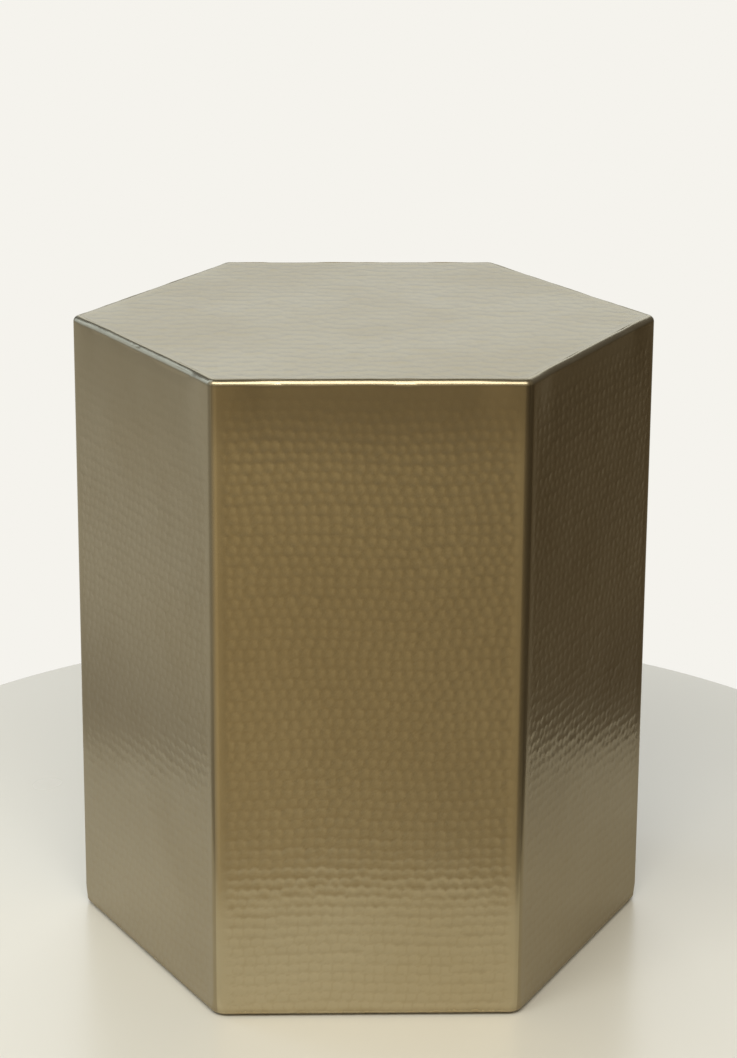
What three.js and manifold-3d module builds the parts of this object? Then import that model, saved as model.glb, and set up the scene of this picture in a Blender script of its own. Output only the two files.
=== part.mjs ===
// Six-sided drum table: hammered brass sheet pinned over a timber carcass.
// Millimetres, +Z up. The origin is the middle of the foot, on the floor.
// One flat side faces -Y and two of the upright corners lie on the X axis.

import * as THREE from 'three';
import { mergeVertices } from 'three/addons/utils/BufferGeometryUtils.js';
import Module from 'manifold-3d';

const wasm = await Module();
wasm.setup();

// ---------------------------------------------------------------- driving dimensions

const HEIGHT = 457;               // floor to table top
const ACROSS_FLATS = 363;         // outside of the sheet, flat to opposite flat
const BEND_RADIUS = 14;           // outside radius of the six upright bends
const SHEET = 1;                  // thickness of the brass
const TOP_ROLL = 6;               // outside radius of the rounded top edge
const TOP_LIP = 1.5;              // flat part of the sheet beyond that roll
const FOOT_ROLL = 3;              // outside radius of the turned-under foot
const FOOT_LIP = 12;              // flat part of the sheet under the carcass
const FOOT_CLEARANCE = 1.5;       // floor to the underside of the brass
const SEAM = 0.4;                 // open butt seam up the middle of the back

const GAP = 0.3;                  // joint between touching pieces
const TOP_BOARD = 18;
const SIDE_BOARD = 15;
const BASE_BOARD = 15;
const POST_LEG = 32;              // how far a corner post runs along each board
const POST_DEPTH = 12;            // its thickness off each board

const GLIDE_RADIUS = 12;
const GLIDE_HEIGHT = 6;
const GLIDE_CHAMFER = 1;
const GLIDE_REACH = 148;          // middle of the table to the middle of a glide
const GLIDE_RECESS_RADIUS = 4.5;
const GLIDE_RECESS_DEPTH = 3;

const POST_SCREW_REACH = 177;     // middle of the table to a post screw
const POST_SCREW = { head: 4.2, shank: 2, length: 45, tip: 5 };
const GLIDE_SCREW = { head: 3.4, shank: 1.6, length: 13, tip: 3 };
const SCREW_SINK = 0.5;           // post screw heads sit this far below the wood
const SLOT_WIDTH = 1;             // driver slot in each screw head
const SLOT_DEPTH = 1;

// ---------------------------------------------------------------- detail of the round stretches

const BEND_STEPS = 6;
const ROLL_STEPS = 5;
const FOOT_STEPS = 3;
const SCREW_SIDES = 12;
const GLIDE_SIDES = 24;

// ---------------------------------------------------------------- worked out from those

const OUTER = ACROSS_FLATS / 2;                       // middle to the outside of a flat
const WOOD = OUTER - SHEET - GAP;                     // middle to the outside of the timber
const WOOD_BEND = BEND_RADIUS - SHEET - GAP;
const BOARD_INSIDE = WOOD - SIDE_BOARD;
const TOP_BOARD_TOP = HEIGHT - SHEET - GAP;
const TOP_BOARD_FOOT = TOP_BOARD_TOP - TOP_BOARD;
const SIDE_TOP = TOP_BOARD_FOOT - GAP;
const SIDE_FOOT = FOOT_CLEARANCE + SHEET + GAP;
const BASE_FOOT = GLIDE_HEIGHT + GAP;
const BASE_TOP = BASE_FOOT + BASE_BOARD;
const POST_FOOT = BASE_TOP + GAP;

const SIXTH = Math.PI / 3;
const HALF_CORNER = Math.PI / 6;
const SIDE_NAMES = ['front', 'front_right', 'back_right', 'back', 'back_left', 'front_left'];
const CORNER_NAMES = ['right', 'back_right', 'back_left', 'left', 'front_left', 'front_right'];

const BRASS = { color: 0x9c8a5c, roughness: 0.3, metalness: 1 };
const TIMBER = { color: 0xb08a5c, roughness: 0.8, metalness: 0 };
const BLOCK = { color: 0xc9a777, roughness: 0.85, metalness: 0 };
const STEEL = { color: 0xa8a39a, roughness: 0.4, metalness: 1 };
const NYLON = { color: 0x2b2a28, roughness: 0.6, metalness: 0 };

// ---------------------------------------------------------------- helpers

function solid(geometry) {
  const bare = geometry.clone();
  bare.deleteAttribute('normal');
  bare.deleteAttribute('uv');
  const merged = mergeVertices(bare, 1e-4);
  return new wasm.Manifold(new wasm.Mesh({
    numProp: 3,
    vertProperties: merged.attributes.position.array,
    triVerts: Uint32Array.from(merged.index.array),
  }));
}

function geometryOf(manifold) {
  const mesh = manifold.getMesh();
  const geometry = new THREE.BufferGeometry();
  geometry.setAttribute('position', new THREE.BufferAttribute(mesh.vertProperties, 3));
  geometry.setIndex(new THREE.BufferAttribute(mesh.triVerts, 1));
  geometry.computeVertexNormals();
  return geometry;
}

const group = new THREE.Group();

function add(name, geometry, finish) {
  const mesh = new THREE.Mesh(geometry, new THREE.MeshStandardMaterial(finish));
  mesh.name = name;
  group.add(mesh);
  return mesh;
}

// A hexagon with round corners; flat is the distance from its middle to a side.
function hexagon(flat, radius) {
  const shape = new THREE.Shape();
  const reach = (flat - radius) / Math.cos(HALF_CORNER);
  for (let corner = 0; corner < 6; corner += 1) {
    const turn = corner * SIXTH;
    const x = reach * Math.cos(turn);
    const y = reach * Math.sin(turn);
    shape.absarc(x, y, radius, turn - HALF_CORNER, turn + HALF_CORNER, false);
  }
  return shape;
}

function plate(shape, foot, top) {
  const geometry = new THREE.ExtrudeGeometry(shape, {
    depth: top - foot,
    bevelEnabled: false,
    curveSegments: BEND_STEPS,
  });
  return geometry.translate(0, 0, foot);
}

function lathe(points, sides) {
  return new THREE.LatheGeometry(points, sides).rotateX(Math.PI / 2);
}

// ---------------------------------------------------------------- the brass

// Quarter round from angle a to angle b about (x, z), both ends included.
function quarter(x, z, radius, a, b, steps) {
  const points = [];
  for (let step = 0; step <= steps; step += 1) {
    const angle = a + (b - a) * step / steps;
    points.push(new THREE.Vector2(x + radius * Math.cos(angle), z + radius * Math.sin(angle)));
  }
  return points;
}

// Section of the side sheet: x is the distance from the middle of the table to a flat.
function sideSection() {
  const rollX = OUTER - TOP_ROLL;
  const rollZ = HEIGHT - TOP_ROLL;
  const footX = OUTER - FOOT_ROLL;
  const footZ = FOOT_CLEARANCE + FOOT_ROLL;
  const lipX = rollX - TOP_LIP;
  const hemX = footX - FOOT_LIP;
  const right = Math.PI / 2;
  const points = [
    ...quarter(footX, footZ, FOOT_ROLL, -right, 0, FOOT_STEPS),
    ...quarter(rollX, rollZ, TOP_ROLL, 0, right, ROLL_STEPS),
    new THREE.Vector2(lipX, HEIGHT),
    new THREE.Vector2(lipX, HEIGHT - SHEET),
    ...quarter(rollX, rollZ, TOP_ROLL - SHEET, right, 0, ROLL_STEPS),
    ...quarter(footX, footZ, FOOT_ROLL - SHEET, 0, -right, FOOT_STEPS),
    new THREE.Vector2(hemX, FOOT_CLEARANCE + SHEET),
    new THREE.Vector2(hemX, FOOT_CLEARANCE),
  ];
  points.push(points[0].clone());
  return points;
}

// The stations round the hexagon: each corner's bend in equal steps, starting at the right.
function stations() {
  const list = [];
  for (let corner = 0; corner < 6; corner += 1) {
    for (let step = 0; step <= BEND_STEPS; step += 1) {
      const turn = HALF_CORNER * (2 * step / BEND_STEPS - 1);
      list.push({ corner: corner * SIXTH, normal: corner * SIXTH + turn });
    }
  }
  list.push(list[0]);
  return list;
}

// A ring turned on the lathe, then pulled out from a circle to the round-cornered hexagon.
function hexagonRing(section) {
  const around = stations();
  const geometry = new THREE.LatheGeometry(section, around.length - 1);
  const position = geometry.attributes.position;
  around.forEach(({ corner, normal }, turn) => {
    section.forEach((point, level) => {
      const radius = BEND_RADIUS - (OUTER - point.x);
      const bend = Math.max(radius, SHEET);
      const reach = (point.x - bend) / Math.cos(HALF_CORNER);
      const x = reach * Math.cos(corner) + bend * Math.cos(normal);
      const y = reach * Math.sin(corner) + bend * Math.sin(normal);
      position.setXYZ(turn * section.length + level, x, y, point.y);
    });
  });
  return geometry;
}

function sideSheet() {
  const slot = new THREE.BoxGeometry(SEAM, 4 * FOOT_LIP, 2 * HEIGHT);
  slot.translate(0, OUTER - FOOT_LIP, HEIGHT / 2);
  return geometryOf(solid(hexagonRing(sideSection())).subtract(solid(slot)));
}

function topSheet() {
  const inset = TOP_ROLL + TOP_LIP + GAP;
  return plate(hexagon(OUTER - inset, BEND_RADIUS - inset), HEIGHT - SHEET, HEIGHT);
}

// ---------------------------------------------------------------- screws and glides

// A countersunk screw standing on its head: the flat of the head at 0, the point at -length.
function screwPoints({ head, shank, length, tip }) {
  return [
    new THREE.Vector2(0, -length),
    new THREE.Vector2(shank, tip - length),
    new THREE.Vector2(shank, shank - head),
    new THREE.Vector2(head, 0),
    new THREE.Vector2(0, 0),
  ];
}

function screw(size) {
  const slot = new THREE.BoxGeometry(2 * size.head, SLOT_WIDTH, SLOT_DEPTH);
  slot.translate(0, 0, SLOT_DEPTH * -0.5);
  return geometryOf(solid(lathe(screwPoints(size), SCREW_SIDES)).subtract(solid(slot)));
}

// The room that a screw needs: its own outline, one gap larger all round, open above the head.
function screwRoom({ head, shank, length }) {
  const points = [
    new THREE.Vector2(0, -length - GAP),
    new THREE.Vector2(shank + GAP, -length - GAP),
    new THREE.Vector2(shank + GAP, shank - head),
    new THREE.Vector2(head + GAP, 0),
    new THREE.Vector2(head + GAP, length),
    new THREE.Vector2(0, length),
  ];
  return lathe(points, SCREW_SIDES);
}

function glide() {
  const points = [
    new THREE.Vector2(0, GLIDE_RECESS_DEPTH),
    new THREE.Vector2(GLIDE_RECESS_RADIUS, GLIDE_RECESS_DEPTH),
    new THREE.Vector2(GLIDE_RECESS_RADIUS, 0),
    new THREE.Vector2(GLIDE_RADIUS - GLIDE_CHAMFER, 0),
    new THREE.Vector2(GLIDE_RADIUS, GLIDE_CHAMFER),
    new THREE.Vector2(GLIDE_RADIUS, GLIDE_HEIGHT),
    new THREE.Vector2(0, GLIDE_HEIGHT),
  ];
  const room = screwRoom(GLIDE_SCREW).rotateX(Math.PI).translate(0, 0, GLIDE_RECESS_DEPTH);
  return geometryOf(solid(lathe(points, GLIDE_SIDES)).subtract(solid(room)));
}

// The same piece of room at each of the six corners, all cut from one blank.
function cutAtCorners(blank, room, reach) {
  let cut = blank;
  for (let corner = 0; corner < 6; corner += 1) {
    cut = cut.subtract(solid(room.clone().translate(reach, 0, 0).rotateZ(corner * SIXTH)));
  }
  return cut;
}

const topScrewRoom = () => screwRoom(POST_SCREW).translate(0, 0, TOP_BOARD_TOP - SCREW_SINK);
const baseScrewRoom = () => screwRoom(POST_SCREW).rotateX(Math.PI)
  .translate(0, 0, BASE_FOOT + SCREW_SINK);
const glideScrewRoom = () => screwRoom(GLIDE_SCREW).rotateX(Math.PI)
  .translate(0, 0, GLIDE_RECESS_DEPTH);

// ---------------------------------------------------------------- the timber

// A block with the timber's outline, its edges rounded at both ends.
function roundedBlock(foot, top, round) {
  const geometry = new THREE.ExtrudeGeometry(hexagon(WOOD, WOOD_BEND), {
    depth: top - foot - 2 * round,
    bevelEnabled: true,
    bevelThickness: round,
    bevelSize: round,
    bevelOffset: -round,
    bevelSegments: ROLL_STEPS,
    curveSegments: BEND_STEPS,
  });
  return solid(geometry.translate(0, 0, foot + round));
}

function slab(foot, top) {
  const geometry = new THREE.BoxGeometry(2 * ACROSS_FLATS, 2 * ACROSS_FLATS, top - foot);
  return solid(geometry.translate(0, 0, (foot + top) / 2));
}

// The top edge of this board is rounded to fit inside the rolled edge of the brass.
function topBoard() {
  const round = TOP_ROLL - SHEET - GAP;
  const block = roundedBlock(TOP_BOARD_FOOT - TOP_BOARD, TOP_BOARD_TOP, round);
  const blank = block.subtract(slab(-TOP_BOARD, TOP_BOARD_FOOT));
  return geometryOf(cutAtCorners(blank, topScrewRoom(), POST_SCREW_REACH));
}

// One mitred side facing -Y, its foot eased to fit inside the turned-under foot of the brass.
function sideBoard() {
  const round = FOOT_ROLL - SHEET - GAP;
  const block = roundedBlock(SIDE_FOOT, SIDE_TOP + TOP_BOARD, round);
  const halfWidth = (reach) => reach * Math.tan(HALF_CORNER) - GAP / 2 / Math.cos(HALF_CORNER);
  const mitred = new THREE.Shape([
    new THREE.Vector2(-halfWidth(BOARD_INSIDE), -BOARD_INSIDE),
    new THREE.Vector2(-halfWidth(OUTER), -OUTER),
    new THREE.Vector2(halfWidth(OUTER), -OUTER),
    new THREE.Vector2(halfWidth(BOARD_INSIDE), -BOARD_INSIDE),
  ]);
  return geometryOf(block.intersect(solid(plate(mitred, 0, SIDE_TOP))));
}

function baseBoard() {
  const flat = BOARD_INSIDE - GAP;
  const shape = new THREE.Shape();
  const corners = [];
  for (let corner = 0; corner < 6; corner += 1) {
    const reach = flat / Math.cos(HALF_CORNER);
    corners.push(new THREE.Vector2(reach, 0).rotateAround(new THREE.Vector2(), corner * SIXTH));
  }
  shape.setFromPoints(corners);
  const blank = solid(plate(shape, BASE_FOOT, BASE_TOP));
  const screwed = cutAtCorners(blank, baseScrewRoom(), POST_SCREW_REACH);
  return geometryOf(cutAtCorners(screwed, glideScrewRoom(), GLIDE_REACH));
}

// The post in the corner on +X: two faces on the boards, two ends square to them, one inside.
function cornerPost() {
  const reach = (BOARD_INSIDE - GAP) / Math.cos(HALF_CORNER);
  const along = new THREE.Vector2(-Math.sin(HALF_CORNER), Math.cos(HALF_CORNER));
  const inward = new THREE.Vector2(-Math.cos(HALF_CORNER), -Math.sin(HALF_CORNER));
  const tip = new THREE.Vector2(reach, 0);
  const outer = tip.clone().addScaledVector(along, POST_LEG);
  const inner = outer.clone().addScaledVector(inward, POST_DEPTH);
  const shape = new THREE.Shape([
    tip,
    outer,
    inner,
    new THREE.Vector2(inner.x, -inner.y),
    new THREE.Vector2(outer.x, -outer.y),
  ]);
  const blank = solid(plate(shape, POST_FOOT, SIDE_TOP));
  const above = topScrewRoom().translate(POST_SCREW_REACH, 0, 0);
  const below = baseScrewRoom().translate(POST_SCREW_REACH, 0, 0);
  return geometryOf(blank.subtract(solid(above)).subtract(solid(below)));
}

// ---------------------------------------------------------------- assembly

add('side_sheet', sideSheet(), BRASS);
add('top_sheet', topSheet(), BRASS);
add('top_board', topBoard(), TIMBER);
add('base_board', baseBoard(), TIMBER);

SIDE_NAMES.forEach((name, side) => {
  add(`side_board_${name}`, sideBoard(), TIMBER).rotation.z = side * SIXTH;
});

CORNER_NAMES.forEach((name, corner) => {
  const place = (mesh, reach, z, upsideDown) => {
    const turn = corner * SIXTH;
    mesh.position.set(reach * Math.cos(turn), reach * Math.sin(turn), z);
    mesh.rotation.set(upsideDown ? Math.PI : 0, 0, 0);
  };
  add(`corner_post_${name}`, cornerPost(), BLOCK).rotation.z = corner * SIXTH;
  place(add(`top_screw_${name}`, screw(POST_SCREW), STEEL),
    POST_SCREW_REACH, TOP_BOARD_TOP - SCREW_SINK, false);
  place(add(`base_screw_${name}`, screw(POST_SCREW), STEEL),
    POST_SCREW_REACH, BASE_FOOT + SCREW_SINK, true);
  place(add(`glide_${name}`, glide(), NYLON), GLIDE_REACH, 0, false);
  place(add(`glide_screw_${name}`, screw(GLIDE_SCREW), STEEL),
    GLIDE_REACH, GLIDE_RECESS_DEPTH, true);
});

export default group;
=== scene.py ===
"""Hexagonal drum table in hammered brass, dressed round its fixed CAD frame. Metres, +Z up."""

import logging
import math
from dataclasses import dataclass
from enum import Enum
from typing import Any, Sequence, Union

import bpy
import numpy as np
from mathutils import Matrix, Vector


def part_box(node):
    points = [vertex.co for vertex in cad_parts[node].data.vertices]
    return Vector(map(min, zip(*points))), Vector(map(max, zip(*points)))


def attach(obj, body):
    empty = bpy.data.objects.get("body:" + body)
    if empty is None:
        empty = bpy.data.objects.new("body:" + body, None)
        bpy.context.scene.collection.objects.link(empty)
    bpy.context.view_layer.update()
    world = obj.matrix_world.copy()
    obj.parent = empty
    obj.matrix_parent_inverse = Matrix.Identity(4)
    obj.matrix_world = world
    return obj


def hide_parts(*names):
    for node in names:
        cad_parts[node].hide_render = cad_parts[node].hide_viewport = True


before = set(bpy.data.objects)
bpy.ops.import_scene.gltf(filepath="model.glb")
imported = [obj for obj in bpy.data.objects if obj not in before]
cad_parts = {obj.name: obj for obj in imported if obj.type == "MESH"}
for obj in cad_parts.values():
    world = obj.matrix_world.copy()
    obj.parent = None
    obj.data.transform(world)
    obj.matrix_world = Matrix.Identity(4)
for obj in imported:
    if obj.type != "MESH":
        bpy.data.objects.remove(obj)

LOG = logging.getLogger("drum_table")
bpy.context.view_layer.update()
ROOT = "root"
MM = 0.001
SIXTH = math.pi / 3
HALF_CORNER = math.pi / 6
CORNERS = ("right", "back_right", "back_left", "left", "front_left", "front_right")

Colour = tuple[float, float, float]
Array = np.ndarray


class Side(Enum):
    """The six flat sides, counted anticlockwise from the one that faces -Y."""

    FRONT = 0
    FRONT_RIGHT = 1
    BACK_RIGHT = 2
    BACK = 3
    BACK_LEFT = 4
    FRONT_LEFT = 5

    @property
    def turn(self) -> float:
        """How far the side is turned about +Z from the front, in radians."""
        return self.value * SIXTH

    @property
    def label(self) -> str:
        """The side's name as the nodes spell it."""
        return self.name.lower()


class Slot(Enum):
    """The record's material slots."""

    BRASS = "hammered_brass"
    BOARD = "carcass_board"
    TIMBER = "corner_timber"
    STEEL = "screw_steel"
    NYLON = "glide_nylon"


# --- shader expressions


class Value:
    """A node's output that Python's operators work on."""

    def __init__(self, tree: "ShaderTree", socket: bpy.types.NodeSocket) -> None:
        """Wraps one output.

        Args:
            tree: The tree that the output belongs to.
            socket: The output itself.
        """
        self.tree = tree
        self.socket = socket

    def _math(self, operation: str, *terms: "Term") -> "Value":
        """Adds one Math node, with these terms in its sockets, and gives its result."""
        return self.tree.node("ShaderNodeMath", {"operation": operation}, dict(enumerate(terms)))

    def __add__(self, other: "Term") -> "Value":
        """self + other."""
        return self._math("ADD", self, other)

    def __radd__(self, other: "Term") -> "Value":
        """other + self."""
        return self._math("ADD", other, self)

    def __sub__(self, other: "Term") -> "Value":
        """self - other."""
        return self._math("SUBTRACT", self, other)

    def __rsub__(self, other: "Term") -> "Value":
        """other - self."""
        return self._math("SUBTRACT", other, self)

    def __mul__(self, other: "Term") -> "Value":
        """self * other."""
        return self._math("MULTIPLY", self, other)

    def __rmul__(self, other: "Term") -> "Value":
        """other * self."""
        return self._math("MULTIPLY", other, self)

    def __truediv__(self, other: "Term") -> "Value":
        """self / other."""
        return self._math("DIVIDE", self, other)

    def ramp(self, low: float, high: float) -> "Value":
        """Rises smoothly from 0 at low to 1 at high."""
        settings = {"interpolation_type": "SMOOTHSTEP"}
        return self.tree.node("ShaderNodeMapRange", settings, {0: self, 1: low, 2: high})


Term = Union[Value, float, Sequence[float]]


class ShaderTree:
    """A material's or the world's node tree, filled in by Python expressions."""

    def __init__(self, tree: bpy.types.NodeTree) -> None:
        """Empties the tree.

        Args:
            tree: The tree to fill.
        """
        self.tree = tree
        tree.nodes.clear()

    def node(self, kind: str, settings: dict[str, Any] | None = None,
             sockets: dict[int | str, Term] | None = None, output: int | str = 0) -> Value:
        """Adds one node.

        Args:
            kind: The node's type.
            settings: Its settings, set before its sockets; "stops" fills a colour ramp.
            sockets: What goes in its input sockets, by number or name.
            output: The number or name of the output to give back.

        Returns:
            That output.
        """
        made = self.tree.nodes.new(kind)
        for name, value in (settings or {}).items():
            if name == "stops":
                self._fill_ramp(made.color_ramp, value)
            else:
                setattr(made, name, value)
        for key, term in (sockets or {}).items():
            if isinstance(term, Value):
                self.tree.links.new(term.socket, made.inputs[key])
            else:
                made.inputs[key].default_value = term
        return Value(self, made.outputs[output]) if made.outputs else Value(self, None)

    @staticmethod
    def _fill_ramp(ramp: bpy.types.ColorRamp, stops: Sequence[tuple[float, Colour]]) -> None:
        """Sets a ramp's stops.

        Args:
            ramp: The ramp.
            stops: Place and colour of each stop, in order.
        """
        while len(ramp.elements) > 1:
            ramp.elements.remove(ramp.elements[-1])
        ramp.elements[0].position = stops[0][0]
        ramp.elements[0].color = (*stops[0][1], 1)
        for place, colour in stops[1:]:
            ramp.elements.new(place).color = (*colour, 1)

    def mix(self, factor: Term, a: Term, b: Term) -> Value:
        """Mixes colour a, at a factor of 0, with colour b, at a factor of 1."""
        full = [x if isinstance(x, Value) else (*x, 1) for x in (a, b)]
        return self.node("ShaderNodeMix", {"data_type": "RGBA"},
                         {0: factor, 6: full[0], 7: full[1]}, output=2)

    def place(self) -> Value:
        """The point on the piece, in metres in the row frame."""
        return self.node("ShaderNodeTexCoord", output="Object")

    def scaled(self, colour: Term, factor: Term) -> Value:
        """A colour times a number."""
        return self.node("ShaderNodeVectorMath", {"operation": "SCALE"},
                         {0: colour, "Scale": factor})

    def stretched(self, place: Value, scale: Sequence[float]) -> Value:
        """A place stretched by a factor along each axis."""
        return self.node("ShaderNodeVectorMath", {"operation": "MULTIPLY"}, {0: place, 1: scale})

    def noise(self, place: Value, scale: float, detail: float = 2, roughness: float = 0.5) -> Value:
        """Cloudy noise, about 0.5 in the middle, with this many patches to a metre."""
        return self.node("ShaderNodeTexNoise", {},
                         {"Vector": place, "Scale": scale, "Detail": detail,
                          "Roughness": roughness})

    def attribute(self, name: str) -> Value:
        """The number that the mesh carries under this name."""
        return self.node("ShaderNodeAttribute", {"attribute_name": name}, output="Fac")

    def bump(self, height: Value, distance: float) -> Value:
        """A normal bumped by a height from 0 to 1, where 1 is this deep in metres."""
        return self.node("ShaderNodeBump", {}, {"Height": height, "Distance": distance})


def close_surface(tree: ShaderTree, sockets: dict[int | str, Term]) -> None:
    """Ends a material with its surface shader, with these terms in its sockets."""
    shader = tree.node("ShaderNodeBsdfPrincipled", {}, sockets)
    tree.node("ShaderNodeOutputMaterial", {}, {"Surface": shader})


# --- finishes


class Finish:
    """A named material, which each kind of finish fills in."""

    name: str

    def material(self) -> bpy.types.Material:
        """Makes the material.

        Returns:
            The material.
        """
        made = bpy.data.materials.new(self.name)
        made.use_nodes = True
        tree = ShaderTree(made.node_tree)
        self.fill(tree, tree.place())
        return made

    def fill(self, tree: ShaderTree, place: Value) -> None:
        """Fills in the material's tree, reading its patterns at a place."""
        raise NotImplementedError


@dataclass(frozen=True)
class HammeredBrass(Finish):
    """Antique brass, planished by hand, rubbed to a satin and lightly toned."""

    name: str = "hammered_brass"
    rubbed: Colour = (0.513, 0.448, 0.302)
    toned: Colour = (0.470, 0.397, 0.249)
    # A darker brown, for painted shade in the creases and for darkening at the foot and along the
    # top's rim.
    deep_brown: Colour = (0.315, 0.235, 0.120)
    # Painted shade: the darker brown laid under the front's top edge and over the lower part of the
    # other five sides.
    painted_shade_colour: Colour = (0.255, 0.205, 0.125)
    roughness: float = 0.16
    satin: float = 0.28
    satin_share: float = 0.52
    # How far painted shade darkens the creases between marks.
    crease_painted_shade: float = 0.18
    cloud_scale: float = 7.0
    fleck_scale: float = 110.0
    rubbing_scale: float = 900.0
    grain_scale: float = 2600.0
    grain_depth: float = 0.012 * MM

    def fill(self, tree: ShaderTree, place: Value) -> None:
        """Tones the brass, darkens it with painted shade, and lays a sharp and a satin reflection
        over each other.

        Args:
            tree: The material's tree.
            place: Where its patterns are read.
        """
        clouds = tree.noise(place, self.cloud_scale, 3, 0.55).ramp(0.38, 0.66)
        flecks = tree.noise(place, self.fleck_scale, 3, 0.6).ramp(0.45, 0.75)
        wear = tree.attribute("wear")
        tone = (clouds * 0.55 + flecks * 0.2) * (1 - wear * 0.8)
        base = tree.mix(tone, self.rubbed, self.toned)
        # Darker brown and rougher towards the foot and along the top's rim.
        edge_darkening = tree.attribute("edge_darkening") * (0.55 + flecks * 0.45)
        base = tree.mix(edge_darkening, base, self.deep_brown)
        # Painted shade, laid where the mesh carries it.
        base = tree.mix(tree.attribute("tarnish_and_painted_shade"), base, self.painted_shade_colour)
        # Painted shade: the creases between marks darkened.
        base = tree.mix(tree.attribute("crease") * self.crease_painted_shade, base, self.deep_brown)
        rubbing = tree.noise(tree.stretched(place, (1, 1, 0.12)), self.rubbing_scale, 2)
        rough = self.roughness + clouds * 0.035 + rubbing * 0.05 - wear * 0.04 + edge_darkening * 0.2
        grain = tree.noise(place, self.grain_scale, 2)
        bump = tree.bump(rubbing * 0.6 + grain * 0.4, self.grain_depth)
        lobes = [tree.node("ShaderNodeBsdfPrincipled", {},
                           {"Base Color": base, "Metallic": 1.0, "Roughness": rough + extra,
                            "Normal": bump}) for extra in (0.0, self.satin)]
        both = tree.node("ShaderNodeMixShader", {}, {0: self.satin_share, 1: lobes[0], 2: lobes[1]})
        tree.node("ShaderNodeOutputMaterial", {}, {"Surface": both})


@dataclass(frozen=True)
class PinBrass(Finish):
    """The drawn brass of the escutcheon pins, its heads a little worn."""

    name: str = "pin_brass"
    bright: Colour = (0.520, 0.430, 0.230)
    tarnish_and_painted_shade: Colour = (0.330, 0.250, 0.120)

    def fill(self, tree: ShaderTree, place: Value) -> None:
        """Dulls the brass in spots and scratches it finely.

        Args:
            tree: The material's tree.
            place: Where its patterns are read.
        """
        tarnish_and_painted_shade = tree.noise(place, 420.0, 3).ramp(0.40, 0.70)
        scratches = tree.noise(place, 3200.0, 2)
        close_surface(tree, {"Base Color": tree.mix(tarnish_and_painted_shade, self.bright, self.tarnish_and_painted_shade),
                             "Metallic": 1.0, "Roughness": 0.24 + tarnish_and_painted_shade * 0.16,
                             "Normal": tree.bump(scratches, 0.01 * MM)})


@dataclass(frozen=True)
class Fibreboard(Finish):
    """Sanded fibreboard: fine felted fibres, a little darker where it was sealed."""

    name: str = "fibreboard"
    pale: Colour = (0.455, 0.325, 0.200)
    dark: Colour = (0.300, 0.200, 0.115)

    def fill(self, tree: ShaderTree, place: Value) -> None:
        """Lays felted fibres over cloudy sealing.

        Args:
            tree: The material's tree.
            place: Where its patterns are read.
        """
        sealed = tree.noise(place, 14.0, 3).ramp(0.35, 0.7)
        fibres = tree.noise(tree.stretched(place, (1, 0.35, 1)), 1500.0, 4, 0.65).ramp(0.35, 0.7)
        tone = sealed * 0.45 + fibres * 0.5
        close_surface(tree, {"Base Color": tree.mix(tone, self.pale, self.dark),
                             "Roughness": 0.72 + fibres * 0.16,
                             "Normal": tree.bump(fibres, 0.06 * MM)})


@dataclass(frozen=True)
class SawnTimber(Finish):
    """Bare softwood with upright grain and saw marks across it."""

    name: str = "sawn_timber"
    early: Colour = (0.610, 0.440, 0.260)
    late: Colour = (0.400, 0.245, 0.120)

    def fill(self, tree: ShaderTree, place: Value) -> None:
        """Lays saw marks over upright grain.

        Args:
            tree: The material's tree.
            place: Where its patterns are read.
        """
        drift = tree.noise(tree.stretched(place, (1, 1, 0.1)), 30.0, 3)
        rings = tree.node("ShaderNodeTexWave", {"bands_direction": "DIAGONAL"},
                          {"Vector": tree.stretched(place, (1, 1, 0.04)), "Scale": 60.0,
                           "Distortion": 3.0, "Detail": 2.0}, output="Fac")
        saw = tree.noise(tree.stretched(place, (0.1, 0.1, 1)), 1200.0, 2)
        tone = rings.ramp(0.3, 0.95) * 0.6 + drift * 0.3
        close_surface(tree, {"Base Color": tree.mix(tone, self.early, self.late),
                             "Roughness": 0.74 + rings * 0.1,
                             "Normal": tree.bump(saw * 0.7 + rings * 0.3, 0.12 * MM)})


@dataclass(frozen=True)
class PlatedSteel(Finish):
    """Zinc-plated screw steel with a faint yellow bloom."""

    name: str = "plated_steel"
    bright: Colour = (0.600, 0.590, 0.560)
    bloom: Colour = (0.450, 0.420, 0.330)

    def fill(self, tree: ShaderTree, place: Value) -> None:
        """Clouds the zinc with its bloom, over fine turning marks.

        Args:
            tree: The material's tree.
            place: Where its patterns are read.
        """
        bloom = tree.noise(place, 300.0, 3).ramp(0.4, 0.7)
        turned = tree.noise(tree.stretched(place, (1, 1, 6)), 1800.0, 2)
        close_surface(tree, {"Base Color": tree.mix(bloom, self.bright, self.bloom),
                             "Metallic": 1.0, "Roughness": 0.3 + bloom * 0.15,
                             "Normal": tree.bump(turned, 0.015 * MM)})


@dataclass(frozen=True)
class MouldedNylon(Finish):
    """Dark moulded nylon, scuffed grey where it slides on the floor."""

    name: str = "moulded_nylon"
    dark: Colour = (0.028, 0.027, 0.025)
    scuffed: Colour = (0.130, 0.125, 0.115)

    def fill(self, tree: ShaderTree, place: Value) -> None:
        """Pebbles the nylon, and scuffs it near the floor.

        Args:
            tree: The material's tree.
            place: Where its patterns are read.
        """
        height = tree.node("ShaderNodeSeparateXYZ", {}, {0: place}, output=2)
        scuffs = tree.noise(tree.stretched(place, (1, 0.2, 1)), 700.0, 3).ramp(0.45, 0.6)
        worn = scuffs * (1 - height.ramp(0.1 * MM, 1.2 * MM))
        pebble = tree.noise(place, 2400.0, 2)
        close_surface(tree, {"Base Color": tree.mix(worn, self.dark, self.scuffed),
                             "Roughness": 0.46 + pebble * 0.12 + worn * 0.2,
                             "Normal": tree.bump(pebble, 0.03 * MM)})


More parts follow.
